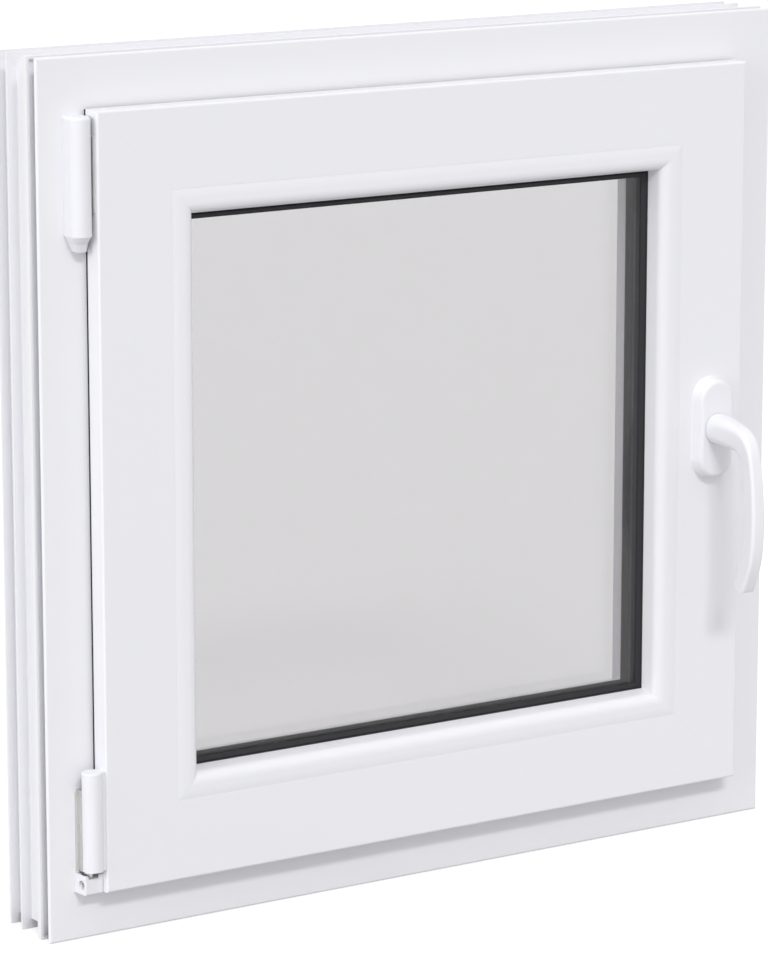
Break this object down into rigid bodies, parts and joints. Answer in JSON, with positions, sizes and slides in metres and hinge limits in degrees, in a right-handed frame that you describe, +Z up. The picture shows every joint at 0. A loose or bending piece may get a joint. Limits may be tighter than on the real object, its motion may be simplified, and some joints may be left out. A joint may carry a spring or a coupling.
{
  "type": "basement window",
  "caption": "Square white PVC tilt-and-turn window for a basement, with double glazing, black seals, covered hinges and a lever handle that turns.",
  "frame": {"origin": "under the middle of the sill, on the wide seat fin that the window stands on", "axes": "+X to the right as seen from the room, +Y out through the window, +Z up"},
  "size_m": [0.6, 0.1392, 0.6],
  "materials": {
    "frame_pvc": "extruded white PVC, semi-gloss",
    "sash_pvc": "extruded white PVC, semi-gloss",
    "seal_rubber": "black, matt",
    "pane_glass": "clear float",
    "sealant": "black sealant",
    "spacer": "black, matt",
    "fitting_plastic": "moulded white, satin",
    "fitting_steel": "zinc plated",
    "handle_coat": "white powder coat, satin"
  },
  "bodies": {
    "window": {"frame_sill_rail": "frame_pvc", "frame_head_rail": "frame_pvc", "frame_hinge_jamb": "frame_pvc", "frame_lock_jamb": "frame_pvc", "frame_seal": "seal_rubber", "sash_bottom_rail": "sash_pvc", "sash_top_rail": "sash_pvc", "sash_hinge_stile": "sash_pvc", "sash_lock_stile": "sash_pvc", "sash_seal": "seal_rubber", "bead_bottom": "sash_pvc", "bead_top": "sash_pvc", "bead_hinge_side": "sash_pvc", "bead_lock_side": "sash_pvc", "bead_seal": "seal_rubber", "glazing_seal": "seal_rubber", "inner_pane": "pane_glass", "outer_pane": "pane_glass", "edge_seal": "sealant", "spacer_bar": "spacer", "upper_hinge_cover": "fitting_plastic", "upper_hinge_bearing": "fitting_plastic", "upper_hinge_arm": "fitting_steel", "lower_hinge_block": "fitting_plastic", "lower_hinge_pin": "fitting_steel", "lower_hinge_leaf": "fitting_steel", "lower_hinge_knuckle": "fitting_plastic", "handle_rosette": "handle_coat", "drain_cap_left": "fitting_plastic", "drain_cap_right": "fitting_plastic"},
    "handle": {"handle_lever": "handle_coat"}
  },
  "joints": [
    {"name": "handle_turn", "type": "hinge", "parent": "window", "child": "handle", "pos_m": [0.237, -0.0324, 0.302], "axis": [0, 1, 0], "range_deg": [0, 180]}
  ]
}
